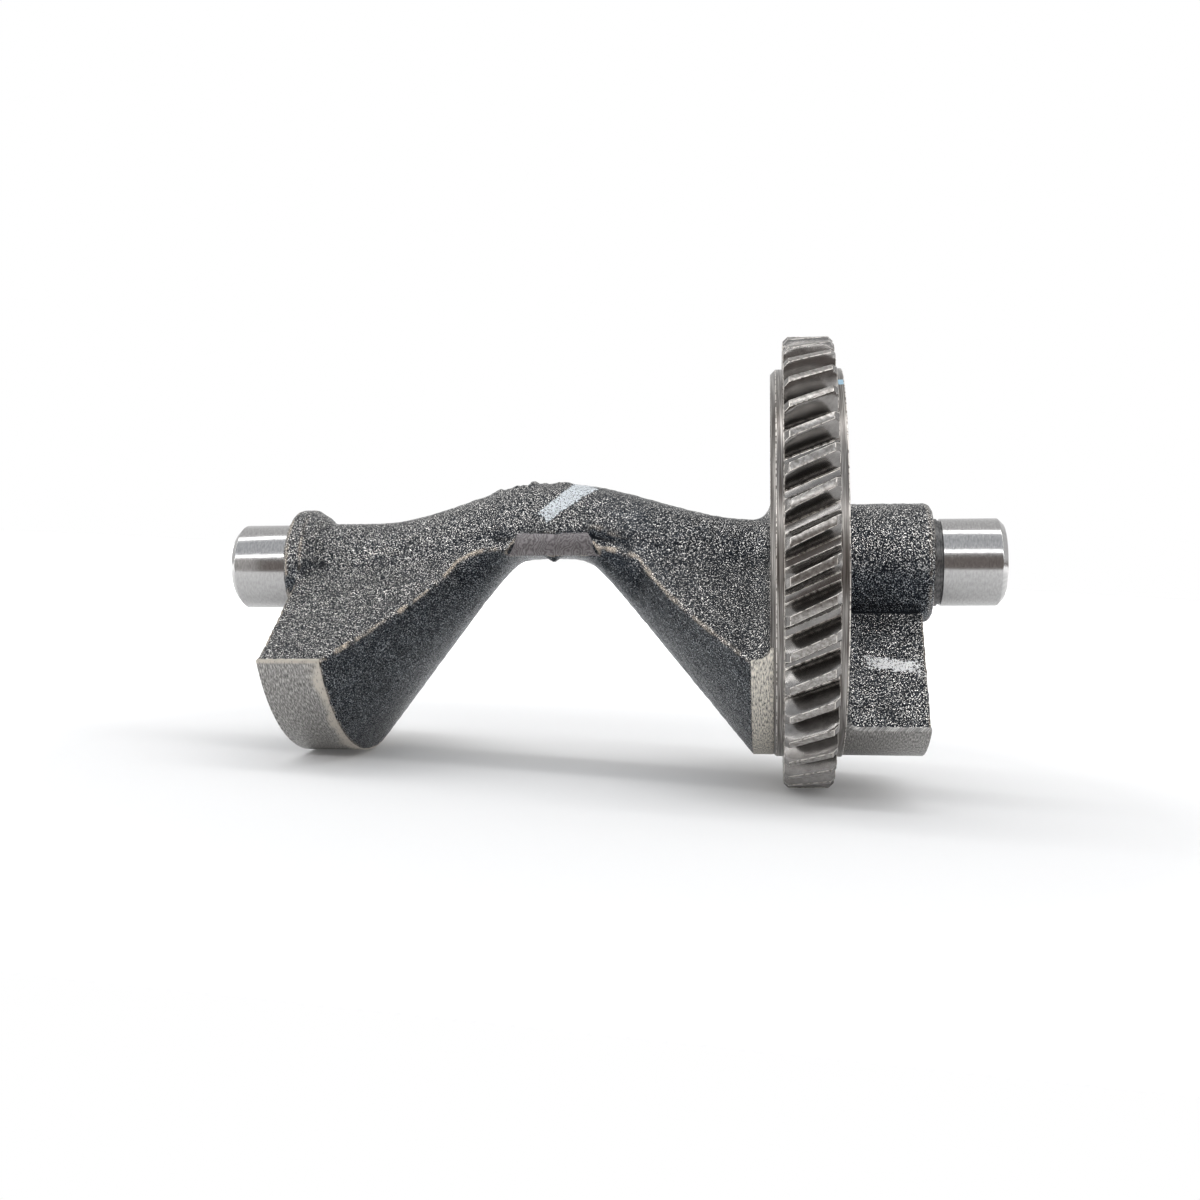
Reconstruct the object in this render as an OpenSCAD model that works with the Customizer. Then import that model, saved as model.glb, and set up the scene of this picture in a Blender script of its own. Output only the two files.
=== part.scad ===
// Balance shaft of a small single-cylinder engine.
// One iron casting: two counterweights joined by an arched crown that clears the crank,
// an integral helical gear, and a ground bearing journal at each end.
// The shaft axis is X, the weights hang towards -Z, and the origin is on the axis
// where the ground surface of the plain end's journal starts.

/* [Journals] */
// Diameter of both bearing journals
journal_d = 15; // [12:0.5:19]
// Length of the plain end's journal from its undercut to its end
plain_journal_len = 10.1; // [8:0.1:16]
// Length of the gear end's journal from its undercut to its end
gear_journal_len = 10.6; // [8:0.1:16]
// Chamfer on the end of each journal
journal_chamfer = 1.0; // [0.4:0.1:1.5]
// Width of the grinding undercut beside each journal
undercut_w = 0.5; // [0.3:0.1:1]
// Depth of the undercut below the journal
undercut_depth = 0.3; // [0.1:0.1:0.8]
// Diameter of the centre that each journal was ground between
centre_d = 4.5; // [2.5:0.1:6]
// Length of the unground ring between the gear end's boss and its undercut
ring_len = 0.9; // [0.5:0.1:2]

/* [Bosses] */
// Diameter of the cast boss behind each journal
boss_d = 20.4; // [19.5:0.1:23]
// Length of the rounded collar at the plain end
collar_len = 6.6; // [5.5:0.1:9]
// Rounding of the bosses' edges towards the journals
boss_round = 0.8; // [0.3:0.1:1.5]
// How far the gear end's boss stands beyond the weight beside it
boss_overhang = 1.9; // [1:0.1:4]

/* [Counterweights] */
// Turned diameter of the weights
weight_d = 66; // [60:0.5:70]
// Angle from straight down to each edge of the wide sectors
sector_angle = 62.7; // [55:0.5:68]
// Slope of the sectors' cast flanks where they reach the turned rim
flank_slope = 32; // [26:1:38]
// Length over which the flanks run out to the rim
flank_run = 17; // [12:0.5:20]
// Distance from the shoulder to the face of the plain end's weight
weight_setback = 2.8; // [2:0.1:6]
// Width of the plain end's turned rim
plain_rim_w = 10.4; // [6:0.1:16]
// Width of the turned rim between the arch and the gear
inner_rim_w = 3.0; // [2:0.1:8]
// Width of the narrow weight outside the gear
outer_weight_w = 13.4; // [8:0.1:20]
// Angle from straight down to each edge of the narrow weight
outer_angle = 36; // [25:1:45]
// Radius of the cast fillet between the narrow weight and the disc
outer_fillet = 2.5; // [1:0.1:4]

/* [Arch] */
// Axial length of the cast cone on the plain end's weight
plain_cone_len = 26.2; // [20:0.1:34]
// Axial length of the cast cone on the gear end's weight
gear_cone_len = 27.4; // [20:0.1:34]
// Distance between the tips of the two cones
cone_gap = 15.0; // [8:0.1:24]
// Diameter of the necks beside the bosses
neck_d = 15.4; // [13:0.1:17]
// Height of the crown's top above the axis
crown_top = 14.5; // [12:0.1:18]
// Height of the crown's flat underside above the axis
crown_under = 1.2; // [0.6:0.1:2]
// Width of the crown
crown_w = 17.2; // [15:0.1:20]
// Height above the axis where the crown is widest
crown_mid = 5.0; // [3:0.1:6]
// Run of the crown's slope towards the plain end
plain_slope_run = 32.5; // [26:0.5:34]
// Run of the crown's slope towards the gear
gear_slope_run = 36.5; // [30:0.5:38]
// Radius of the cast fillet between the neck and the gear's disc
disc_fillet = 3.0; // [1.5:0.1:4]
// Depth cut from each corner between a cone and the underside by its cast rounding
arch_blend = 1.0; // [0.5:0.1:1.5]
// Height of the underside's edges over its middle, at the tips of the cones
edge_rise = 2.0; // [1.5:0.1:3]

/* [Milled flat] */
// Length of the flat milled on the front of the crown, at the underside
flat_len = 17.2; // [8:0.1:20]
// Length of the flat at its upper edge
flat_top_len = 12.1; // [5:0.1:16]
// Distance of the flat's middle from the crown's, towards the gear
flat_shift = 0.9; // [0:0.1:2]
// Height of the flat's upper edge above the axis
flat_top = 5.5; // [3:0.1:7]
// Depth of the flat below the crown's widest point
flat_depth = 0.3; // [0.1:0.1:0.8]

/* [Gear] */
// Number of teeth
teeth = 42; // [36:1:46]
// Normal module
normal_module = 1.6; // [1.5:0.01:1.7]
// Helix angle, left-handed
helix_angle = 25; // [15:1:30]
// Normal pressure angle
pressure_angle = 20; // [17:0.5:22]
// Width of the teeth
face_w = 8.3; // [6:0.1:14]
// Chamfer on the ends of the teeth
tooth_chamfer = 0.8; // [0.3:0.1:1.2]
// Angle of a tooth's middle above the horizontal, at the arch side of the gear
tooth_clock = 3.9; // [0:0.1:8.5]
// Diameter of the turned rims beside the teeth
rim_d = 66.6; // [64:0.1:69]
// Width of the disc's cast and turned rim on the arch side
inner_collar_w = 2.1; // [1.5:0.1:4]
// Cast bevel on the disc's arch side
disc_bevel = 0.9; // [0.4:0.1:1.3]
// Width of the turned rim on the outer side
outer_collar_w = 1.5; // [0.8:0.1:4]

/* [Hidden] */

// Finish of the round, revolved surfaces
$fn = 96;
// Overlap between forms that grow into each other
bite = 0.6;

// Radii
journal_r = journal_d / 2;
boss_r = boss_d / 2;
neck_r = neck_d / 2;
weight_r = weight_d / 2;
rim_r = rim_d / 2;
// Depth of the 60 degree centres
centre_depth = centre_d / 2 / tan(30);

// Stations along the axis, each from the one before
x_shoulder = undercut_w;
x_plain_weight = x_shoulder + weight_setback;
x_plain_rim_end = x_plain_weight + plain_rim_w;
x_plain_tip = x_plain_rim_end + plain_cone_len;
x_gear_tip = x_plain_tip + cone_gap;
x_inner_rim = x_gear_tip + gear_cone_len;
x_disc = x_inner_rim + inner_rim_w;
x_teeth = x_disc + inner_collar_w;
x_teeth_end = x_teeth + face_w;
x_disc_end = x_teeth_end + outer_collar_w;
x_outer_end = x_disc_end + outer_weight_w;
x_boss_end = x_outer_end + boss_overhang;
x_gear_journal = x_boss_end + ring_len + undercut_w;
x_crown = (x_plain_tip + x_gear_tip) / 2;

// Gear geometry in the transverse plane
pitch_r = teeth * normal_module / cos(helix_angle) / 2;
addendum = 1.0;
dedendum = 1.25;
tip_r = pitch_r + addendum * normal_module;
root_r = pitch_r - dedendum * normal_module;
transverse_angle = atan(tan(pressure_angle) / cos(helix_angle));
base_r = pitch_r * cos(transverse_angle);
tooth_pitch = 360 / teeth;
twist_per_mm = tan(helix_angle) / pitch_r * 180 / PI;
// Radius that a cutter reaches beyond the tips
cutter_r = tip_r + tooth_chamfer;
// Steps down each flank of a tooth space
flank_steps = 4;

// Involute function of an angle, in degrees
function involute(angle) = tan(angle) * 180 / PI - angle;

// Half the angle that a tooth fills at a radius, never less than a thin land
function half_tooth(r) =
    let (local = acos(min(1, base_r / r)))
    max(0.15, tooth_pitch / 4 + involute(transverse_angle) - involute(local));

// Outline of the space after a tooth, at a distance along the face, as [x, y, z] points
function space_outline(tooth, along) = [
    for (side = [0, 1])
        for (step = [0 : flank_steps])
            let (rise = side > 0 ? step : flank_steps - step)
            let (r = root_r + (cutter_r - root_r) * rise / flank_steps)
            let (turn = tooth_clock + tooth * tooth_pitch + along * twist_per_mm)
            let (angle = turn + (side > 0 ? tooth_pitch - half_tooth(r) : half_tooth(r)))
            [x_teeth + along, -r * cos(angle), r * sin(angle)]
];

// Strips that close an even ring of points, from its first to the one opposite
function ring_cap(first, count) = [
    for (i = [0 : count / 2 - 1])
        let (strip = [i, i + 1, count - i - 1, (count - i) % count])
        [for (p = strip) first + p]
];

// Triangles between rings of points, with the first and last ring closed
function ring_faces(rings, count) = concat(
    ring_cap(0, count),
    [
        for (ring = [0 : rings - 2])
            for (i = [0 : count - 1])
                let (next = (i + 1) % count)
                let (a = ring * count + i)
                let (b = ring * count + next)
                each [[a, a + count, b + count], [a, b + count, b]]
    ],
    [
        for (strip = ring_cap((rings - 1) * count, count))
            [for (i = [3 : -1 : 0]) strip[i]]
    ]
);

// How far up its slope the crown is at a station, from 0 at the necks to 1 at the top
function crown_share(x) =
    let (run = x < x_crown ? plain_slope_run : gear_slope_run)
    pow(cos(90 * min(1, abs(x - x_crown) / run)), 2);

// Growth of the section inside the fillet against the gear's disc
function fillet_growth(x) =
    let (into = min(disc_fillet, max(0, x - (x_disc - disc_fillet))))
    disc_fillet - sqrt(pow(disc_fillet, 2) - pow(into, 2));

// A point on a cubic curve
function curve_point(p, t) =
    pow(1 - t, 3) * p[0] + 3 * t * pow(1 - t, 2) * p[1]
    + 3 * t * t * (1 - t) * p[2] + pow(t, 3) * p[3];

// Ends of the flank curve: the sector's corner, carried on past the turned rim
rim_corner = weight_r * [sin(sector_angle), -cos(sector_angle)];
flank_dir = [cos(flank_slope), -sin(flank_slope)];
flank_past = 4;
flank_end = rim_corner + flank_past * flank_dir;
flank_bend = flank_end - flank_run * flank_dir;
skirt_bottom = -weight_r - flank_past;
// Points round the crown's top and along each flank
top_steps = 6;
flank_curve_steps = 8;

// Half of the cast section at a station, from its top to its lower corner, as [y, z]
function half_section(x) =
    let (share = crown_share(x))
    let (grow = fillet_growth(x))
    let (height = neck_r + (crown_top - neck_r) * share + grow)
    let (half_w = neck_r + (crown_w / 2 - neck_r) * share + grow)
    let (middle = crown_mid * share)
    let (shoulder = [half_w, middle])
    let (hip = shoulder + [(1 - share) * neck_r / 8, -neck_r / 16])
    let (lift = [0, grow])
    let (flank = [shoulder, hip, flank_bend + lift, flank_end + lift])
    concat(
        [for (i = [0 : top_steps - 1])
            let (angle = 90 - 90 * i / top_steps)
            [half_w * cos(angle), middle + (height - middle) * sin(angle)]],
        [for (i = [0 : flank_curve_steps]) curve_point(flank, i / flank_curve_steps)],
        [[flank_end[0], skirt_bottom]]
    );

// The whole section, mirrored front to back, as [x, y, z] points
function cast_section(x) =
    let (half = half_section(x))
    let (last = len(half) - 1)
    concat(
        [for (p = half) [x, -p[0], p[1]]],
        [for (i = [last : -1 : 1]) [x, half[i][0], half[i][1]]]
    );

// Stations of the cast sections, closer together in the fillet
plain_stations = 30;
fillet_stations = 5;
x_cast_start = x_plain_weight - bite;
x_fillet = x_disc - disc_fillet;
cast_stations = concat(
    [for (i = [0 : plain_stations - 1]) x_cast_start + (x_fillet - x_cast_start) * i / plain_stations],
    [for (i = [0 : fillet_stations]) x_fillet + disc_fillet * sin(84 * i / fillet_stations)],
    [x_disc + bite]
);

// Turns a profile of [x, radius] points about the shaft axis
module turned(profile) {
    rotate([0, 90, 0])
        rotate_extrude()
            polygon([for (p = profile) [p[1], p[0]]]);
}

// The necks, crown and sector flanks as one cast form, before the rims are turned
module cast_form() {
    sections = [for (x = cast_stations) cast_section(x)];
    polyhedron(
        points = [for (s = sections) each s],
        faces = ring_faces(len(sections), len(sections[0]))
    );
}

// Radius at which the cones end, inside the underside's rounding
blunt_r = 2.0;
// Share of the cones' slopes that the underside follows, so that it ends inside them
slope_share = 0.97;
// Growth of the underside's edges with its depth below the axis, and the least that they rise
edge_gain = 1.2;
edge_least = 0.2;
// Half width at which the edges are measured, and how far the underside is drawn
edge_y = crown_w / 2 + bite;
soffit_reach = crown_w * 0.65;
// Stations along the underside, points across half of it, and its run into each cone
soffit_stations = 36;
soffit_steps = 12;
soffit_run = 10;

// Height of the underside's middle at a station: both cones and the flat, blended
function arch_low(x) =
    let (plain = (x - x_plain_tip) * weight_r / plain_cone_len)
    let (gear = (x_gear_tip - x) * weight_r / gear_cone_len)
    let (cone = slope_share * min(plain, gear))
    (crown_under + cone) / 2 - sqrt(pow((crown_under - cone) / 2, 2) + pow(arch_blend, 2));

// Half of the underside's section at a station, from its middle to its edge and up, as [y, z]
function soffit_half(x) =
    let (low = arch_low(x))
    let (rise = max(edge_least, edge_rise - edge_gain * low))
    let (round_r = (pow(edge_y, 2) + pow(rise, 2)) / (2 * rise))
    let (reach = min(round_r, soffit_reach))
    concat(
        [for (i = [0 : soffit_steps])
            let (y = reach * sin(90 * i / soffit_steps))
            [y, low + round_r - sqrt(pow(round_r, 2) - pow(y, 2))]],
        [[reach, 2 * crown_top], [0, 2 * crown_top]]
    );

// The whole of that section, mirrored back to front, as [x, y, z] points
function soffit_section(x) =
    let (half = soffit_half(x))
    let (last = len(half) - 1)
    concat(
        [for (p = half) [x, p[0], p[1]]],
        [for (i = [last - 1 : -1 : 1]) [x, -half[i][0], half[i][1]]]
    );

// What lies above the crown's underside, which is rounded into both cones
module above_soffit() {
    x_first = x_plain_tip - soffit_run;
    x_last = x_gear_tip + soffit_run;
    sections = [
        for (i = [0 : soffit_stations])
            soffit_section(x_first + (x_last - x_first) * i / soffit_stations)
    ];
    polyhedron(
        points = [for (s = sections) each s],
        faces = ring_faces(len(sections), len(sections[0]))
    );
}

// What the weights' rims and cones, and the crown above the arch, leave of the casting
module cast_envelope() {
    turned([
        [x_plain_weight, 0],
        [x_plain_weight, weight_r],
        [x_plain_rim_end, weight_r],
        [x_plain_tip - blunt_r * plain_cone_len / weight_r, blunt_r],
        [x_plain_tip - blunt_r * plain_cone_len / weight_r, 0]
    ]);
    turned([
        [x_gear_tip + blunt_r * gear_cone_len / weight_r, 0],
        [x_gear_tip + blunt_r * gear_cone_len / weight_r, blunt_r],
        [x_inner_rim, weight_r],
        [x_disc + disc_bevel / 2, weight_r],
        [x_disc + disc_bevel / 2, 0]
    ]);
    above_soffit();
}

// Flat milled on the front of the crown, shorter at its upper edge
module crown_flat() {
    translate([x_crown + flat_shift, flat_depth - crown_w / 2, 0])
        rotate([90, 0, 0])
            linear_extrude(crown_w)
                polygon([
                    [-flat_len / 2, crown_under - bite],
                    [-flat_top_len / 2, flat_top],
                    [flat_top_len / 2, flat_top],
                    [flat_len / 2, crown_under - bite]
                ]);
}

// Journal and rounded collar at the plain end
module plain_end() {
    turned([
        [centre_depth - plain_journal_len, 0],
        [-plain_journal_len, centre_d / 2],
        [-plain_journal_len, journal_r - journal_chamfer],
        [journal_chamfer - plain_journal_len, journal_r],
        [0, journal_r],
        [0, journal_r - undercut_depth],
        [x_shoulder, journal_r - undercut_depth],
        [x_shoulder, boss_r - boss_round],
        [x_shoulder + boss_round, boss_r],
        [x_shoulder + collar_len / 2, boss_r],
        [x_shoulder + collar_len * 0.8, (boss_r + neck_r) / 2],
        [x_shoulder + collar_len, neck_r - bite / 4],
        [x_shoulder + collar_len, 0]
    ]);
}

// Disc that carries the teeth, turned on both rims, before the teeth are cut
module gear_blank() {
    turned([
        [x_disc, 0],
        [x_disc, rim_r - disc_bevel],
        [x_disc + disc_bevel, rim_r],
        [x_teeth, rim_r],
        [x_teeth, tip_r - tooth_chamfer],
        [x_teeth + tooth_chamfer, tip_r],
        [x_teeth_end - tooth_chamfer, tip_r],
        [x_teeth_end, tip_r - tooth_chamfer],
        [x_teeth_end, rim_r],
        [x_disc_end, rim_r],
        [x_disc_end, 0]
    ]);
}

// One helical space between two teeth, run past both ends of the face
module tooth_space(tooth) {
    slices = [-bite, face_w / 2, face_w + bite];
    polyhedron(
        points = [for (along = slices) each space_outline(tooth, along)],
        faces = ring_faces(len(slices), 2 * (flank_steps + 1))
    );
}

module helical_gear() {
    difference() {
        gear_blank();
        for (tooth = [0 : teeth - 1]) tooth_space(tooth);
    }
}

// Section of the narrow weight at a station, wider in the fillet against the disc, as [x, y, z]
function outer_section(x) =
    let (into = min(outer_fillet * 0.995, max(0, x_disc_end + outer_fillet - x)))
    let (grow = outer_fillet - sqrt(pow(outer_fillet, 2) - pow(into, 2)))
    let (reach = weight_r + 4)
    let (edge = [sin(outer_angle), -cos(outer_angle)])
    let (out = grow * [cos(outer_angle), sin(outer_angle)])
    let (top = journal_r / 2 * edge + out)
    let (low = reach * edge + out)
    [
        [x, 0, 0],
        [x, -top[0], top[1]],
        [x, -low[0], low[1]],
        [x, 0, -reach],
        [x, low[0], low[1]],
        [x, top[0], top[1]]
    ];

// Narrow weight outside the gear, growing from under the boss
module outer_weight() {
    stations = concat(
        [x_disc_end - bite],
        [for (i = [fillet_stations : -1 : 0])
            x_disc_end + outer_fillet * (1 - sin(84 * i / fillet_stations))],
        [x_outer_end]
    );
    intersection() {
        polyhedron(
            points = [for (x = stations) each outer_section(x)],
            faces = ring_faces(len(stations), 6)
        );
        turned([
            [x_disc_end - bite, 0],
            [x_disc_end - bite, weight_r],
            [x_outer_end, weight_r],
            [x_outer_end, 0]
        ]);
    }
}

// Boss, unground ring, undercut and journal at the gear end
module gear_end() {
    turned([
        [x_disc_end - bite, 0],
        [x_disc_end - bite, boss_r],
        [x_boss_end - boss_round, boss_r],
        [x_boss_end, boss_r - boss_round],
        [x_boss_end, journal_r],
        [x_boss_end + ring_len, journal_r],
        [x_boss_end + ring_len, journal_r - undercut_depth],
        [x_gear_journal, journal_r - undercut_depth],
        [x_gear_journal, journal_r],
        [x_gear_journal + gear_journal_len - journal_chamfer, journal_r],
        [x_gear_journal + gear_journal_len, journal_r - journal_chamfer],
        [x_gear_journal + gear_journal_len, centre_d / 2],
        [x_gear_journal + gear_journal_len - centre_depth, 0]
    ]);
}

module balance_shaft() {
    color("dimgray")
        union() {
            difference() {
                intersection() {
                    cast_form();
                    cast_envelope();
                }
                crown_flat();
            }
            plain_end();
            helical_gear();
            outer_weight();
            gear_end();
        }
}

balance_shaft();
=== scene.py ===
import math

import bpy
import numpy as np
from mathutils import Matrix, Vector, noise


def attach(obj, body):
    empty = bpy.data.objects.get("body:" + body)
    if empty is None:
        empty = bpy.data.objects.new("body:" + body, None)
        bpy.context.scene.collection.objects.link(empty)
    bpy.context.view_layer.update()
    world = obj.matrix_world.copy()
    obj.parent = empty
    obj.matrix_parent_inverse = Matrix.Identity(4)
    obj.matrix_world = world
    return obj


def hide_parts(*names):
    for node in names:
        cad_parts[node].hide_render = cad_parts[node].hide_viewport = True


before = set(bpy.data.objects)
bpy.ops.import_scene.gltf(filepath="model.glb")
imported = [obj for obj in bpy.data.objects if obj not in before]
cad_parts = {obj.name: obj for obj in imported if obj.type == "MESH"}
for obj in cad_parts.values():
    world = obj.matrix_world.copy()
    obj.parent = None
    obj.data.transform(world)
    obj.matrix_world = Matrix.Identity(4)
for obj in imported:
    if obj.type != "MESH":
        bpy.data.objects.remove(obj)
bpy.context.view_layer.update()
bpy.context.scene.view_settings.view_transform = "Standard"


# The casting: necks, arched crown and the two sector weights with their conical inner faces.
# Grey iron poured in a green-sand mould and shot-blasted, so every unmachined face keeps a fine
# speckled skin, with a little flash left along the parting line over the crown.
mm = 0.001
same_place = 0.001 * mm
weld_gap = 0.002 * mm
shoulder_x = 0.5 * mm
disc_x = 85.3 * mm
into_disc = 1.0 * mm
weight_r = 33.0 * mm
skin_r = weight_r - 0.12 * mm
crown_front_y = -4 * mm


def choose(piece):
    bpy.ops.object.select_all(action="DESELECT")
    bpy.context.view_layer.objects.active = piece
    piece.select_set(True)


def start_edit(piece):
    choose(piece)
    bpy.ops.object.mode_set(mode="EDIT")
    bpy.ops.mesh.select_all(action="SELECT")


def copy_of_solid(name):
    piece = bpy.data.objects.new(name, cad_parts["balance_shaft"].data.copy())
    piece.data.materials.clear()
    bpy.context.scene.collection.objects.link(piece)
    start_edit(piece)
    bpy.ops.mesh.remove_doubles(threshold=weld_gap)
    return piece


def cut_away(x, beyond):
    bpy.ops.mesh.select_all(action="SELECT")
    bpy.ops.mesh.bisect(
        plane_co=(x, 0, 0),
        plane_no=(1, 0, 0),
        use_fill=True,
        clear_inner=not beyond,
        clear_outer=beyond,
        threshold=same_place,
    )


def lengthen(way):
    bpy.ops.mesh.extrude_region_move(TRANSFORM_OT_translate={"value": (way, 0, 0)})


def apply_modifier(piece, kind, **settings):
    modifier = piece.modifiers.new(kind.lower(), kind)
    for key, value in settings.items():
        setattr(modifier, key, value)
    choose(piece)
    bpy.ops.object.modifier_apply(modifier=modifier.name)


def mark_ridges(piece, voxel):
    """Stores how sharply the skin turns outwards at each point, and how far it looks up."""
    mesh = piece.data
    count = len(mesh.vertices)
    spots = np.empty(count * 3)
    mesh.vertices.foreach_get("co", spots)
    spots = spots.reshape(-1, 3)
    ways = np.empty(count * 3)
    mesh.vertex_normals.foreach_get("vector", ways)
    ways = ways.reshape(-1, 3)
    ends = np.empty(len(mesh.edges) * 2, dtype=int)
    mesh.edges.foreach_get("vertices", ends)
    ends = ends.reshape(-1, 2)
    around = np.zeros((count, 3))
    np.add.at(around, ends[:, 0], spots[ends[:, 1]])
    np.add.at(around, ends[:, 1], spots[ends[:, 0]])
    links = np.bincount(ends.ravel(), minlength=count)[:, None]
    inward = around / links - spots
    ridge = mesh.attributes.new("ridge", "FLOAT", "POINT")
    ridge.data.foreach_set("value", -(inward * ways).sum(axis=1) / voxel)
    facing = mesh.attributes.new("facing_up", "FLOAT", "POINT")
    facing.data.foreach_set("value", ways[:, 2])


def press_hollow(piece, start, end, radius, depth):
    """Presses a groove into the front of the skin, between two points of its face."""
    start, end = Vector(start) * mm, Vector(end) * mm
    run = end - start
    for v in piece.data.vertices:
        if v.co.y < crown_front_y:
            spot = Vector((v.co.x, v.co.z))
            share = min(1, max(0, (spot - start).dot(run) / run.length_squared))
            away = (spot - start - run * share).length / (radius * mm)
            v.co.y += depth * mm * math.exp(-away * away)


def sand_surface(piece, voxel, depth, hollows=()):
    """Turns a cut of the solid into a finely divided skin with the waves of a sand mould."""
    apply_modifier(piece, "REMESH", mode="VOXEL", voxel_size=voxel)
    apply_modifier(piece, "SMOOTH", factor=0.5, iterations=3)
    for hollow in hollows:
        press_hollow(piece, *hollow)
    mark_ridges(piece, voxel)
    for v in piece.data.vertices:
        spread = math.hypot(v.co.y, v.co.z)
        if spread > skin_r:
            v.co.y *= skin_r / spread
            v.co.z *= skin_r / spread
    sand = bpy.data.textures.new(piece.name + "_sand", "CLOUDS")
    sand.noise_scale = 1.1 * mm
    sand.noise_depth = 2
    apply_modifier(
        piece, "DISPLACE", texture=sand, texture_coords="LOCAL", strength=depth, mid_level=0.65
    )
    bpy.ops.object.shade_smooth()


casting = copy_of_solid("casting")
cut_away(shoulder_x + 0.01 * mm, beyond=False)
cut_away(disc_x - 0.05 * mm, beyond=True)
lengthen(into_disc)
bpy.ops.object.mode_set(mode="OBJECT")

# Hollows on both sides of the milled flat: their ends in x and z, radius and depth, all in mm
flat_hollows = [((38.9, 4.4), (40.4, 4.2), 1.2, 0.4), ((55.4, 4.8), (60.8, 3.0), 1.0, 0.55)]
sand_surface(casting, voxel=0.42 * mm, depth=0.26 * mm, hollows=flat_hollows)

# Ragged flash along two stretches of the crown's parting line: start, end and height in mm
flash_stretches = [(36.0, 46.4, 1.3), (46.8, 51.6, 1.0)]
flash_y = -0.8 * mm
flash_half_w = 2.4 * mm
flash_above = 9 * mm
lumps_per_m = 560
for v in casting.data.vertices:
    aside = (v.co.y - flash_y) / flash_half_w
    if v.co.z > flash_above and abs(aside) < 1:
        for start, end, height in flash_stretches:
            run = (v.co.x / mm - start) / (end - start)
            if 0 < run < 1:
                lump = max(-0.15, 0.25 + noise.noise(v.co * lumps_per_m))
                across = math.cos(aside * math.pi / 2)
                v.co.z += height * mm * lump * across * math.sin(run * math.pi) ** 0.5

# A small drip of iron under the crown's front edge
drip = Vector((48.2, -6.6, 1.4)) * mm
drip_r = 1.0 * mm
drip_length = 0.95 * mm
drip_reach = 2.5
for v in casting.data.vertices:
    apart = (v.co - drip).length / drip_r
    if apart < drip_reach:
        v.co.z -= drip_length * math.exp(-apart * apart)


def new_material(name, metallic, roughness):
    material = bpy.data.materials.new(name)
    material.use_nodes = True
    shader = material.node_tree.nodes["Principled BSDF"]
    shader.inputs["Metallic"].default_value = metallic
    shader.inputs["Roughness"].default_value = roughness
    return material, shader


def add_node(material, kind, inputs=None, **settings):
    node = material.node_tree.nodes.new(kind)
    for key, value in settings.items():
        setattr(node, key, value)
    for key, value in (inputs or {}).items():
        if isinstance(value, bpy.types.NodeSocket):
            material.node_tree.links.new(value, node.inputs[key])
        else:
            node.inputs[key].default_value = value
    return node


def feed(material, source, target):
    material.node_tree.links.new(source, target)


def object_place(material):
    return add_node(material, "ShaderNodeTexCoord").outputs["Object"]


def axes_of(material, vector):
    return add_node(material, "ShaderNodeSeparateXYZ", {"Vector": vector}).outputs


def combine(material, operation, first, second):
    inputs = {0: first, 1: second}
    return add_node(material, "ShaderNodeMath", inputs, operation=operation).outputs[0]


def product(material, first, *others):
    for other in others:
        first = combine(material, "MULTIPLY", first, other)
    return first


def vector_math(material, operation, inputs, output=0):
    return add_node(material, "ShaderNodeVectorMath", inputs, operation=operation).outputs[output]


def speckle(material, vector, scale, detail=2, roughness=0.5):
    settings = {"Vector": vector, "Scale": scale, "Detail": detail, "Roughness": roughness}
    return add_node(material, "ShaderNodeTexNoise", settings).outputs["Fac"]


def add_ramp(material, source, stops):
    ramp = add_node(material, "ShaderNodeValToRGB", {"Fac": source})
    while len(ramp.color_ramp.elements) < len(stops):
        ramp.color_ramp.elements.new(0.5)
    for element, (place, shade) in zip(ramp.color_ramp.elements, stops):
        element.position = place
        element.color = (*shade, 1)
    return ramp.outputs["Color"]


def grade(material, value, low, high):
    """Takes a shader value from 0 at one level to 1 at another, without a step."""
    settings = {"Value": value, "From Min": low, "From Max": high}
    node = add_node(material, "ShaderNodeMapRange", settings, interpolation_type="SMOOTHSTEP")
    return node.outputs["Result"]


def remap(material, value, levels, results):
    """Takes a shader value from one pair of levels to another in a straight line."""
    settings = {"Value": value, "From Min": levels[0], "From Max": levels[1]}
    settings.update({"To Min": results[0], "To Max": results[1]})
    return add_node(material, "ShaderNodeMapRange", settings).outputs["Result"]


def blend_colour(material, factor, under, over):
    mix = add_node(material, "ShaderNodeMix", data_type="RGBA")
    feed(material, factor, mix.inputs[0])
    feed(material, under, mix.inputs[6])
    if isinstance(over, bpy.types.NodeSocket):
        feed(material, over, mix.inputs[7])
    else:
        mix.inputs[7].default_value = (*over, 1)
    return mix.outputs[2]


def roughen(material, shader, height, strength, depth):
    settings = {"Height": height, "Strength": strength, "Distance": depth}
    bump = add_node(material, "ShaderNodeBump", settings)
    feed(material, bump.outputs["Normal"], shader.inputs["Normal"])


def daub(material, place, centre, turn, half_sizes, ragged, taper=0.0):
    """A shader value of 1 on a brush mark, falling to 0 over its ragged edge."""
    settings = {"Vector": place, "Location": centre, "Rotation": (0, turn, 0), "Scale": half_sizes}
    local = add_node(material, "ShaderNodeMapping", settings, vector_type="TEXTURE").outputs[0]
    signed = axes_of(material, local)
    away = axes_of(material, vector_math(material, "ABSOLUTE", {0: local}))
    narrowing = combine(material, "SUBTRACT", 1, product(material, signed["X"], taper))
    widest = product(material, away["Z"], narrowing)
    widest = combine(material, "MAXIMUM", widest, away["X"])
    widest = combine(material, "MAXIMUM", widest, away["Y"])
    edge = product(material, speckle(material, place, 1700, 3, 0.75), ragged)
    reach = combine(material, "ADD", widest, edge)
    return grade(material, reach, 1.12 + ragged / 2, 0.92 + ragged / 2)


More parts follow.
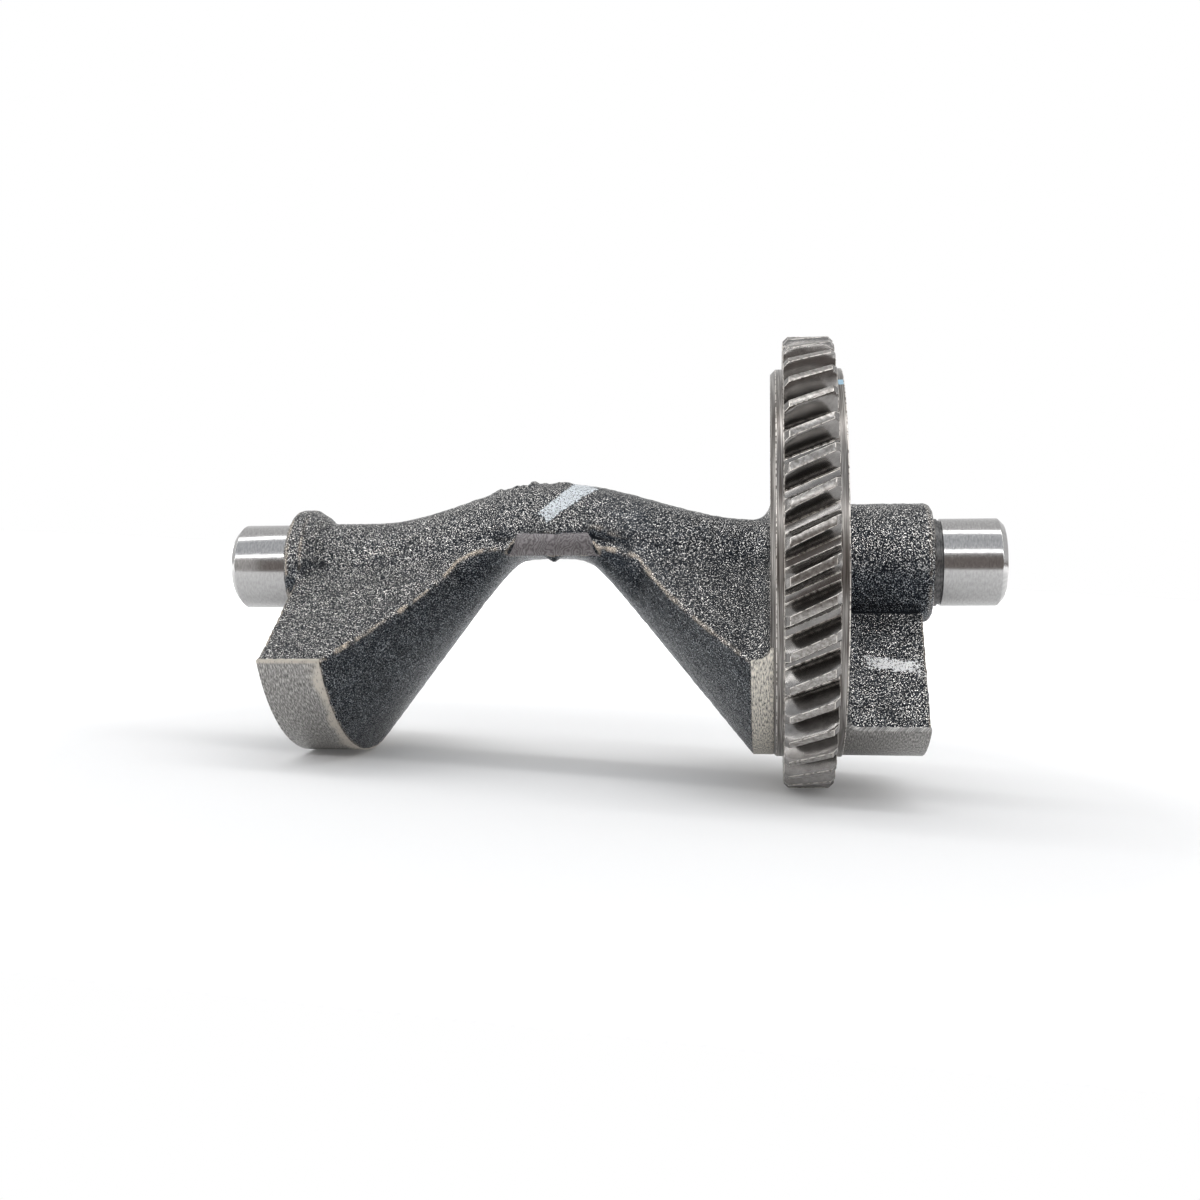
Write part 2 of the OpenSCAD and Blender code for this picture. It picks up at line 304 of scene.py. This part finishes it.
# The skin's grains, which get a little coarser from the crown to the gear
sand_skin, sand_shader = new_material("sand_cast_skin", 1.0, 0.27)
place = object_place(sand_skin)
towards_gear = grade(sand_skin, axes_of(sand_skin, place)["X"], 50 * mm, 74 * mm)
fine_grains = speckle(sand_skin, place, 5000, 1, 0.5)
coarser = combine(sand_skin, "SUBTRACT", speckle(sand_skin, place, 4200, 1, 0.5), fine_grains)
grains = combine(sand_skin, "ADD", fine_grains, product(sand_skin, coarser, towards_gear))

# Painted light and shade: brighter grains where the skin looks up, darker and bluer ones where it
# looks down
lit_skin_colour = add_ramp(
    sand_skin,
    grains,
    [
        (0.39, (0.008, 0.01, 0.013)),
        (0.48, (0.034, 0.04, 0.049)),
        (0.56, (0.158, 0.161, 0.164)),
        (0.65, (0.83, 0.805, 0.77)),
    ],
)
shaded_skin_colour = add_ramp(
    sand_skin,
    grains,
    [
        (0.39, (0.005, 0.006, 0.01)),
        (0.49, (0.022, 0.028, 0.036)),
        (0.58, (0.1, 0.111, 0.122)),
        (0.67, (0.44, 0.455, 0.47)),
    ],
)
# How far the skin looks up blends the painted lit colour with the painted shaded colour
facing = add_node(sand_skin, "ShaderNodeAttribute", attribute_name="facing_up").outputs["Fac"]
lit_share = grade(sand_skin, facing, -0.3, 0.3)
skin_colour = blend_colour(sand_skin, lit_share, shaded_skin_colour, lit_skin_colour)
mottle = remap(sand_skin, speckle(sand_skin, place, 380, 3, 0.6), (0.34, 0.66), (0.85, 1.2))
skin_colour = vector_math(sand_skin, "SCALE", {0: skin_colour, "Scale": mottle})

# Painted shade in the creases, and ridges rubbed to a warmer metal
ridge = add_node(sand_skin, "ShaderNodeAttribute", attribute_name="ridge").outputs["Fac"]
# Concave creases take a near-black colour as painted shade
crease_shade = grade(sand_skin, ridge, -0.03, -0.1)
skin_colour = blend_colour(sand_skin, crease_shade, skin_colour, (0.012, 0.014, 0.017))
rubbed = product(
    sand_skin,
    grade(sand_skin, ridge, 0.015, 0.1),
    grade(sand_skin, grains, 0.26, 0.5),
    grade(sand_skin, speckle(sand_skin, place, 420, 2), 0.34, 0.6),
    grade(sand_skin, towards_gear, 2.0, -0.2),
)
skin_colour = blend_colour(sand_skin, rubbed, skin_colour, (0.56, 0.49, 0.41))

# Paint: a brush stroke over the crown and a white chip on the narrow weight
stroke = daub(
    sand_skin,
    place,
    (50.3 * mm, -6 * mm, 11.35 * mm),
    math.radians(-40),
    (4.6 * mm, 7 * mm, 1.35 * mm),
    1.2,
    taper=0.22,
)
stroke = product(sand_skin, stroke, grade(sand_skin, grains, 0.3, 0.5))
skin_colour = blend_colour(sand_skin, stroke, skin_colour, (0.78, 0.83, 0.87))
chip = daub(
    sand_skin,
    place,
    (105.2 * mm, -13.5 * mm, -16.7 * mm),
    math.radians(6),
    (3.6 * mm, 6 * mm, 0.85 * mm),
    3.2,
)
chip = product(sand_skin, chip, grade(sand_skin, fine_grains, 0.3, 0.46))
skin_colour = blend_colour(sand_skin, chip, skin_colour, (0.98, 0.98, 0.98))
feed(sand_skin, skin_colour, sand_shader.inputs["Base Color"])
paint = combine(sand_skin, "MAXIMUM", stroke, chip)
feed(sand_skin, grade(sand_skin, paint, 1.0, 0.0), sand_shader.inputs["Metallic"])
roughen(sand_skin, sand_shader, grains, 1.0, 0.25 * mm)
casting.data.materials.append(sand_skin)
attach(casting, "root")
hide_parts("balance_shaft")


# The outer casting: the boss behind the gear end's journal and the narrow weight under it.
# The same pour as the rest, standing on the far side of the gear's disc.
outer_x = 97.2 * mm
boss_end_x = 112.5 * mm
outer_casting = copy_of_solid("outer_casting")
cut_away(boss_end_x + 0.3 * mm, beyond=True)
cut_away(outer_x + 0.05 * mm, beyond=False)
lengthen(-into_disc)
bpy.ops.object.mode_set(mode="OBJECT")
sand_surface(outer_casting, voxel=0.34 * mm, depth=0.3 * mm)
outer_casting.data.materials.append(sand_skin)
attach(outer_casting, "root")


# The turned rims: the outside of the weights, skimmed to one diameter on a lathe.
# Bare iron with short torn tool marks round the shaft and a bright burr along the edges.
plain_rim_end = 13.7 * mm
plain_rim_top = -15.1 * mm
smooth_below = math.radians(35)


def keep_faces(piece, wanted):
    bpy.ops.mesh.select_mode(type="FACE")
    bpy.ops.mesh.select_all(action="DESELECT")
    bpy.ops.object.mode_set(mode="OBJECT")
    for face in piece.data.polygons:
        face.select = not wanted(face, [piece.data.vertices[i].co for i in face.vertices])
    bpy.ops.object.mode_set(mode="EDIT")
    bpy.ops.mesh.delete(type="FACE")
    bpy.ops.object.mode_set(mode="OBJECT")


def bevel_edges(piece, width, segments, degrees, **settings):
    """Rounds every edge that turns by more than an angle."""
    settings.update(limit_method="ANGLE", angle_limit=math.radians(degrees))
    apply_modifier(piece, "BEVEL", width=width, segments=segments, **settings)


def round_the_shaft(material, place, along, around):
    """Coordinates along the tool's path round the shaft, on its length and across its ends."""
    parts = axes_of(material, place)
    angle = combine(material, "ARCTAN2", parts["Y"], parts["Z"])
    across = vector_math(material, "MULTIPLY", {0: place, 1: (0, 1, 1)})
    radius = vector_math(material, "LENGTH", {0: across}, "Value")
    reach = combine(material, "ADD", parts["X"], radius)
    path = add_node(material, "ShaderNodeCombineXYZ", {"X": reach, "Y": angle}).outputs[0]
    settings = {"Vector": path, "Scale": (along, around * weight_r, 1)}
    return add_node(material, "ShaderNodeMapping", settings).outputs[0]


def on_rim(face, corners):
    at_rim = all(abs(math.hypot(c.y, c.z) - weight_r) < 0.03 * mm for c in corners)
    return at_rim and abs(face.normal.x) < 0.2


rims = copy_of_solid("turned_rims")
keep_faces(rims, on_rim)
apply_modifier(rims, "SOLIDIFY", thickness=0.7 * mm, offset=-1)
bevel_edges(rims, 0.12 * mm, segments=2, degrees=50)
bpy.ops.object.shade_smooth_by_angle(angle=smooth_below)
turned_iron, turned_shader = new_material("turned_iron", 1.0, 0.42)
place = object_place(turned_iron)
torn = speckle(turned_iron, round_the_shaft(turned_iron, place, 5600, 1100), 1, 2, 0.6)
turned_colour = add_ramp(
    turned_iron,
    torn,
    [(0.32, (0.11, 0.107, 0.104)), (0.5, (0.28, 0.273, 0.264)), (0.66, (0.56, 0.543, 0.52))],
)

# The burr along the plain rim's inner end and top, and the lighter strip beside the gear
parts = axes_of(turned_iron, place)
along = parts["X"]
wander = combine(turned_iron, "SUBTRACT", speckle(turned_iron, place, 240, 3), 0.5)
burr_x = combine(turned_iron, "ADD", along, product(turned_iron, wander, 4.5 * mm))
end_burr = product(
    turned_iron,
    grade(turned_iron, burr_x, plain_rim_end - 2.2 * mm, plain_rim_end - 0.7 * mm),
    grade(turned_iron, along, plain_rim_end + 0.5 * mm, plain_rim_end + 0.1 * mm),
)
top_burr = product(
    turned_iron,
    grade(turned_iron, parts["Z"], plain_rim_top - 0.6 * mm, plain_rim_top - 0.15 * mm),
    grade(turned_iron, along, 40 * mm, 30 * mm),
)
burr = combine(turned_iron, "MAXIMUM", end_burr, top_burr)
burr = product(turned_iron, burr, grade(turned_iron, torn, 0.2, 0.5))
turned_colour = blend_colour(turned_iron, burr, turned_colour, (0.56, 0.52, 0.46))
inner_strip = product(
    turned_iron,
    grade(turned_iron, along, 40 * mm, 80 * mm),
    grade(turned_iron, along, 96 * mm, 86 * mm),
    grade(turned_iron, torn, 0.28, 0.68),
)
turned_colour = blend_colour(turned_iron, inner_strip, turned_colour, (0.8, 0.75, 0.66))
feed(turned_iron, turned_colour, turned_shader.inputs["Base Color"])
roughen(turned_iron, turned_shader, torn, 0.5, 0.05 * mm)
rims.data.materials.append(turned_iron)
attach(rims, "root")


# The milled flat on the front of the crown, cut across the casting's lower edge by an end mill.
# Bare iron, dull brownish grey, with the mill's fine curved marks.
def on_flat(face, corners):
    at_crown = all(35 * mm < c.x < 60 * mm and -9 * mm < c.y < -7 * mm for c in corners)
    return at_crown and face.normal.y < -0.999


flat = copy_of_solid("milled_flat")
keep_faces(flat, on_flat)
apply_modifier(flat, "SOLIDIFY", thickness=0.6 * mm, offset=-0.7)
bevel_edges(flat, 0.12 * mm, segments=2, degrees=50)
bpy.ops.object.shade_smooth_by_angle(angle=smooth_below)
milled_iron, milled_shader = new_material("milled_iron", 1.0, 0.45)
place = object_place(milled_iron)
mill_centre = {"Vector": place, "Location": (-52.6 * mm, 0, -2.2 * mm)}
swirls = add_node(
    milled_iron,
    "ShaderNodeTexWave",
    {
        "Vector": add_node(milled_iron, "ShaderNodeMapping", mill_centre).outputs[0],
        "Scale": 520,
        "Distortion": 24,
        "Detail": 3,
    },
    wave_type="RINGS",
    rings_direction="Y",
).outputs["Fac"]
mill_marks = product(milled_iron, swirls, speckle(milled_iron, place, 900, 5, 0.7))
milled_colour = add_ramp(
    milled_iron,
    mill_marks,
    [(0.02, (0.145, 0.136, 0.14)), (0.25, (0.215, 0.203, 0.209)), (0.6, (0.31, 0.295, 0.301))],
)
feed(milled_iron, milled_colour, milled_shader.inputs["Base Color"])
roughen(milled_iron, milled_shader, mill_marks, 0.4, 0.05 * mm)
flat.data.materials.append(milled_iron)
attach(flat, "root")


# The gear: an integral disc with helical teeth hobbed into it and a turned collar on each side.
# The flanks are smooth bright iron, and the tips and collars keep lathe marks.
teeth = 42
normal_module = 1.6 * mm
helix = math.radians(25)
pressure_angle = math.radians(20)
face_w = 8.3 * mm
teeth_x = 87.4 * mm
teeth_end_x = teeth_x + face_w
tooth_chamfer = 0.8 * mm
tooth_clock = math.radians(3.9)
root_fillet = 0.45 * mm
collar_r = 33.3 * mm
hub_r = 6 * mm
pitch_r = teeth * normal_module / math.cos(helix) / 2
tip_r = pitch_r + normal_module
root_r = pitch_r - 1.25 * normal_module
transverse = math.atan(math.tan(pressure_angle) / math.cos(helix))
base_r = pitch_r * math.cos(transverse)
tooth_pitch = 2 * math.pi / teeth
twist = math.tan(helix) / pitch_r


def half_tooth(r):
    """Half a tooth's angle at a radius, from the involute."""
    local = math.acos(min(1, base_r / r))
    return tooth_pitch / 4 + math.tan(transverse) - transverse - math.tan(local) + local


def at_angle(x, r, angle):
    return Vector((x, -r * math.cos(angle), r * math.sin(angle)))


# One pitch of the outline: half a space, a flank with its root fillet, the tip, and back down
flank_foot = root_r + root_fillet
foot_angle = half_tooth(flank_foot)
flank = [
    (root_r, tooth_pitch / 2),
    (root_r, foot_angle + 0.5 * root_fillet / root_r),
    (root_r + 0.3 * root_fillet, foot_angle + 0.12 * root_fillet / root_r),
]
flank_rs = [flank_foot + (tip_r - root_r - root_fillet) * i / 7 for i in range(8)]
flank += [(r, half_tooth(r)) for r in flank_rs]
outline = [(r, -a) for r, a in flank] + [(r, a) for r, a in reversed(flank)]
gear_mesh = bpy.data.meshes.new("gear")
gear_mesh.from_pydata(
    [at_angle(teeth_x, r, tooth_clock + a) for r, a in outline],
    [(i, i + 1) for i in range(len(outline) - 1)],
    [],
)
gear = bpy.data.objects.new("gear", gear_mesh)
bpy.context.scene.collection.objects.link(gear)

# The outline is drawn along the helix, copied round the shaft and chamfered at both ends
start_edit(gear)
stations = [0, 0.8, 1.9, 3.0, 4.15, 5.3, 6.4, 7.5, 8.3]
for before, after in zip(stations, stations[1:]):
    step = (after - before) * mm
    bpy.ops.mesh.extrude_edges_move(TRANSFORM_OT_translate={"value": (step, 0, 0)})
    bpy.ops.transform.rotate(value=twist * step, orient_axis="X", center_override=(0, 0, 0))
bpy.ops.mesh.select_all(action="SELECT")
bpy.ops.mesh.spin(steps=teeth, dupli=True, angle=2 * math.pi, center=(0, 0, 0), axis=(1, 0, 0))
bpy.ops.mesh.select_all(action="SELECT")
bpy.ops.mesh.remove_doubles(threshold=2 * weld_gap)
bpy.ops.object.mode_set(mode="OBJECT")
for v in gear.data.vertices:
    from_end = min(v.co.x - teeth_x, teeth_end_x - v.co.x)
    limit = tip_r - max(0, tooth_chamfer - from_end)
    spread = math.hypot(v.co.y, v.co.z)
    if spread > limit:
        v.co.y *= limit / spread
        v.co.z *= limit / spread


def ring_to(x, r):
    """Extrudes the selected edge ring to a circle at another station."""
    bpy.ops.mesh.extrude_edges_move()
    bpy.ops.object.mode_set(mode="OBJECT")
    for v in gear.data.vertices:
        if v.select:
            spread = math.hypot(v.co.y, v.co.z)
            v.co = (x, v.co.y * r / spread, v.co.z * r / spread)
    bpy.ops.object.mode_set(mode="EDIT")


def drop_slivers(piece):
    start_edit(piece)
    bpy.ops.mesh.dissolve_degenerate(threshold=0.003 * mm)
    bpy.ops.object.mode_set(mode="OBJECT")


# The disc's two sides, from the teeth over the collars down to the hub inside the casting
arch_side = [
    (teeth_x, collar_r),
    (disc_x + 0.9 * mm, collar_r),
    (disc_x, collar_r - 0.9 * mm),
    (disc_x, hub_r),
]
far_side = [
    (teeth_end_x, collar_r),
    (outer_x - 0.1 * mm, collar_r),
    (outer_x, collar_r - 0.1 * mm),
    (outer_x, hub_r),
]
for end_x, rings in ((teeth_x, arch_side), (teeth_end_x, far_side)):
    for edge in gear.data.edges:
        edge.select = False
    for face in gear.data.polygons:
        face.select = False
    for v in gear.data.vertices:
        v.select = abs(v.co.x - end_x) < same_place
    bpy.context.view_layer.objects.active = gear
    bpy.ops.object.mode_set(mode="EDIT")
    bpy.ops.mesh.select_mode(type="VERT")
    bpy.ops.mesh.select_mode(type="EDGE")
    for x, r in rings:
        ring_to(x, r)
    bpy.ops.mesh.edge_face_add()
    bpy.ops.object.mode_set(mode="OBJECT")
start_edit(gear)
bpy.ops.mesh.normals_make_consistent(inside=False)
bpy.ops.object.mode_set(mode="OBJECT")

hobbed_flank, flank_shader = new_material("hobbed_flank", 1.0, 0.24)
flank_colour = add_ramp(
    hobbed_flank,
    speckle(hobbed_flank, object_place(hobbed_flank), 600, 5, 0.7),
    [(0.3, (0.19, 0.182, 0.174)), (0.7, (0.31, 0.299, 0.29))],
)
feed(hobbed_flank, flank_colour, flank_shader.inputs["Base Color"])

tooth_land, land_shader = new_material("tooth_land", 1.0, 0.3)
land_marks = speckle(tooth_land, object_place(tooth_land), 1800, 4, 0.65)
land_colour = add_ramp(
    tooth_land,
    land_marks,
    [(0.3, (0.17, 0.158, 0.146)), (0.5, (0.33, 0.314, 0.298)), (0.7, (0.52, 0.504, 0.487))],
)
feed(tooth_land, land_colour, land_shader.inputs["Base Color"])
roughen(tooth_land, land_shader, land_marks, 0.3, 0.05 * mm)

turned_collar, collar_shader = new_material("turned_collar", 1.0, 0.3)
place = object_place(turned_collar)
collar_colour = add_ramp(
    turned_collar,
    speckle(turned_collar, round_the_shaft(turned_collar, place, 4200, 90), 1, 3, 0.6),
    [(0.32, (0.08, 0.066, 0.058)), (0.5, (0.2, 0.188, 0.178)), (0.66, (0.46, 0.44, 0.415))],
)
blue_dot = daub(
    turned_collar,
    place,
    (96.7 * mm, -16.4 * mm, 29.1 * mm),
    0,
    (0.5 * mm, 2 * mm, 0.5 * mm),
    0.4,
)
collar_colour = blend_colour(turned_collar, blue_dot, collar_colour, (0.45, 0.68, 0.85))
feed(turned_collar, collar_colour, collar_shader.inputs["Base Color"])

worn_edge, edge_shader = new_material("worn_edge", 1.0, 0.3)
edge_colour = add_ramp(
    worn_edge,
    speckle(worn_edge, object_place(worn_edge), 1500, 2),
    [(0.4, (0.2, 0.185, 0.17)), (0.52, (0.78, 0.74, 0.69))],
)
feed(worn_edge, edge_colour, edge_shader.inputs["Base Color"])

for material in (hobbed_flank, turned_collar, sand_skin, tooth_land, worn_edge):
    gear.data.materials.append(material)
on_flank, on_collar, on_skin, on_land, on_edge = range(5)
for face in gear.data.polygons:
    outward = Vector((0, face.center.y, face.center.z))
    radial = abs(outward.normalized().dot(face.normal))
    in_teeth = teeth_x + 0.01 * mm < face.center.x < teeth_end_x - 0.01 * mm
    if in_teeth and outward.length > root_r + 0.3 * mm and radial > 0.75:
        face.material_index = on_land
    elif in_teeth:
        face.material_index = on_flank
    elif outward.length > collar_r - 1.0 * mm:
        face.material_index = on_collar
    else:
        face.material_index = on_skin
bevel_edges(gear, 0.09 * mm, segments=2, degrees=38, material=on_edge)
drop_slivers(gear)
bpy.ops.object.shade_smooth_by_angle(angle=smooth_below)
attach(gear, "root")


# The journals: one at each end, ground to a bearing fit, with a chamfer, a centre and an undercut.
# Bright bare metal; the undercuts take a dark colour as painted shade, and the ring beside the
# gear end's undercut is only turned and is coloured dark.
journal_r = 7.5 * mm
journal_sides = 96
ground_iron, ground_shader = new_material("ground_journal", 1.0, 0.17)
ground_path = round_the_shaft(ground_iron, object_place(ground_iron), 3500, 300)
grinding = speckle(ground_iron, ground_path, 1, 3)
ground_colour = add_ramp(
    ground_iron, grinding, [(0.3, (0.4, 0.395, 0.392)), (0.7, (0.53, 0.525, 0.52))]
)
feed(ground_iron, ground_colour, ground_shader.inputs["Base Color"])
roughen(ground_iron, ground_shader, grinding, 0.12, 0.02 * mm)
undercut_shade_and_dark_ring, dark_shader = new_material("undercut_shade_and_dark_ring", 1.0, 0.4)
dark_path = round_the_shaft(undercut_shade_and_dark_ring, object_place(undercut_shade_and_dark_ring), 4000, 300)
dark_colour = add_ramp(
    undercut_shade_and_dark_ring,
    speckle(undercut_shade_and_dark_ring, dark_path, 1, 2),
    [(0.3, (0.06, 0.06, 0.063)), (0.7, (0.17, 0.168, 0.165))],
)
feed(undercut_shade_and_dark_ring, dark_colour, dark_shader.inputs["Base Color"])


def journal(name, profile):
    """Draws a journal from the bottom of its centre outwards, extruding one ring after another."""
    x, r = profile[0]
    bpy.ops.object.select_all(action="DESELECT")
    bpy.ops.mesh.primitive_circle_add(
        vertices=journal_sides,
        radius=r,
        fill_type="NGON",
        location=(x, 0, 0),
        rotation=(0, math.pi / 2, 0),
    )
    piece = bpy.context.object
    piece.name = name
    bpy.ops.object.transform_apply(location=True, rotation=True, scale=True)
    bpy.ops.object.mode_set(mode="EDIT")
    for next_x, next_r in profile[1:]:
        lengthen(next_x - x)
        growth = next_r / r
        bpy.ops.transform.resize(value=(1, growth, growth), center_override=(next_x, 0, 0))
        x, r = next_x, next_r
    bpy.ops.mesh.select_all(action="SELECT")
    bpy.ops.mesh.normals_make_consistent(inside=False)
    bpy.ops.object.mode_set(mode="OBJECT")
    piece.data.materials.append(ground_iron)
    piece.data.materials.append(undercut_shade_and_dark_ring)
    for face in piece.data.polygons:
        lowest = min(math.hypot(*piece.data.vertices[i].co.yz) for i in face.vertices)
        # Undercut floors take the dark material as painted shade in the groove
        in_undercut = abs(face.normal.x) < 0.1 and lowest < journal_r - 0.2 * mm
        in_ring = boss_end_x - 2 * mm < face.center.x < boss_end_x + 1.2 * mm
        face.material_index = 1 if in_undercut or in_ring else 0
    bevel_edges(piece, 0.12 * mm, segments=3, degrees=30)
    drop_slivers(piece)
    bpy.ops.object.shade_smooth_by_angle(angle=smooth_below)
    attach(piece, "root")


# Both profiles as stations and radii in mm
plain_profile = [
    (-6.3, 0.1),
    (-10.1, 2.25),
    (-10.1, 6.5),
    (-9.1, 7.5),
    (0, 7.5),
    (0.02, 7.2),
    (1.5, 7.2),
]
journal("plain_journal", [(x * mm, r * mm) for x, r in plain_profile])
gear_profile = [
    (120.7, 0.1),
    (124.5, 2.25),
    (124.5, 6.5),
    (123.5, 7.5),
    (113.9, 7.5),
    (113.88, 7.2),
    (113.42, 7.2),
    (113.4, 7.5),
    (111.5, 7.5),
]
journal("gear_journal", [(x * mm, r * mm) for x, r in gear_profile])


# The studio: a white table, tilted as the shaft rests on its gear and on the plain weight's edge,
# in a pale room with a dark front and two long ceiling lamps. It isn't part of the object.
plain_rest_x, plain_rest_z = 3.3 * mm, -33.0 * mm
gear_rest_x, gear_rest_z = 88.2 * mm, -38.67 * mm
rest_slope = (plain_rest_z - gear_rest_z) / (gear_rest_x - plain_rest_x)
table_size = 4
front_edge = -0.13
bpy.ops.object.select_all(action="DESELECT")
bpy.ops.mesh.primitive_plane_add(
    size=table_size,
    location=(plain_rest_x, table_size / 2 + front_edge, plain_rest_z - 0.05 * mm),
    rotation=(0, math.atan(rest_slope), 0),
)
table = bpy.context.object
table.name = "table"
bpy.ops.object.transform_apply(location=True, rotation=True, scale=True)
white_table, table_shader = new_material("white_table", 0.0, 0.9)
table_shader.inputs["Base Color"].default_value = (0.82, 0.82, 0.82, 1)
table_shader.inputs["Emission Color"].default_value = (1, 1, 1, 1)

# Away from the shaft, the table fades to white for the camera and in reflections
eye = add_node(white_table, "ShaderNodeLightPath").outputs
seen = combine(white_table, "MAXIMUM", eye["Is Camera Ray"], eye["Is Glossy Ray"])
table_places = {0: object_place(white_table), 1: (60 * mm, 0, 0)}
away = vector_math(white_table, "DISTANCE", table_places, "Value")
fade = remap(white_table, away, (0.1, 0.45), (0.06, 1.0))
feed(white_table, product(white_table, seen, fade), table_shader.inputs["Emission Strength"])
table.data.materials.append(white_table)

# Brightness of the room by elevation, from the front horizon over the top to the back horizon
room_stops = [
    (0, (0.24, 0.212, 0.2)),
    (13, (0.24, 0.212, 0.2)),
    (18, (0.28, 0.27, 0.265)),
    (24, (0.45, 0.45, 0.45)),
    (27, (1.1, 1.1, 1.1)),
    (28.2, (8.0, 8.0, 8.0)),
    (30.8, (8.0, 8.0, 8.0)),
    (32, (0.72, 0.74, 0.77)),
    (80, (0.7, 0.72, 0.75)),
    (83.5, (3.0, 3.0, 3.0)),
    (85.5, (6.5, 6.5, 6.5)),
    (89.5, (6.5, 6.5, 6.5)),
    (91, (0.72, 0.72, 0.72)),
    (180, (0.85, 0.85, 0.85)),
]
world = bpy.data.worlds.new("studio")
bpy.context.scene.world = world
world.use_nodes = True
way = axes_of(world, add_node(world, "ShaderNodeTexCoord").outputs["Generated"])
elevation = combine(world, "ARCTAN2", way["Z"], combine(world, "MULTIPLY", way["Y"], -1))
room_colour = add_ramp(
    world,
    combine(world, "DIVIDE", elevation, math.pi),
    [(angle / 180, shade) for angle, shade in room_stops],
)

# The front is lighter towards the left, on the plain journal's side
left_front = grade(world, way["X"], -0.31, -0.36)
left_wall = vector_math(world, "SCALE", {0: (0.62, 0.6, 0.59), "Scale": left_front})
room_colour = vector_math(world, "MAXIMUM", {0: room_colour, 1: left_wall})
room = world.node_tree.nodes["Background"]
feed(world, room_colour, room.inputs["Color"])

# The camera itself sees plain white behind the table
backdrop = add_node(world, "ShaderNodeBackground", {"Color": (1, 1, 1, 1), "Strength": 1})
is_camera = add_node(world, "ShaderNodeLightPath").outputs["Is Camera Ray"]
seen_world = add_node(
    world,
    "ShaderNodeMixShader",
    {0: is_camera, 1: room.outputs[0], 2: backdrop.outputs[0]},
)
feed(world, seen_world.outputs[0], world.node_tree.nodes["World Output"].inputs["Surface"])

# The camera stands level with the shaft, a little to the gear's side, as the photograph does
camera_place = (85.22 * mm, -235.88 * mm, 0)
yaw = math.radians(-7.218)
pitch = math.radians(-1.507)
roll = math.radians(-0.358)
ahead = Vector(
    (math.sin(yaw) * math.cos(pitch), math.cos(yaw) * math.cos(pitch), math.sin(pitch))
)
level = Vector((math.cos(yaw), -math.sin(yaw), 0))
upward = level.cross(ahead)
right = level * math.cos(roll) + upward * math.sin(roll)
up = upward * math.cos(roll) - level * math.sin(roll)
camera_data = bpy.data.cameras.new("camera")
camera_data.lens = 40.28
camera_data.sensor_width = 36
camera_data.clip_start = 0.01
camera = bpy.data.objects.new("camera", camera_data)
facing_shaft = Matrix((right, up, -ahead)).transposed().to_4x4()
camera.matrix_world = Matrix.Translation(camera_place) @ facing_shaft
bpy.context.scene.collection.objects.link(camera)
bpy.context.scene.camera = camera
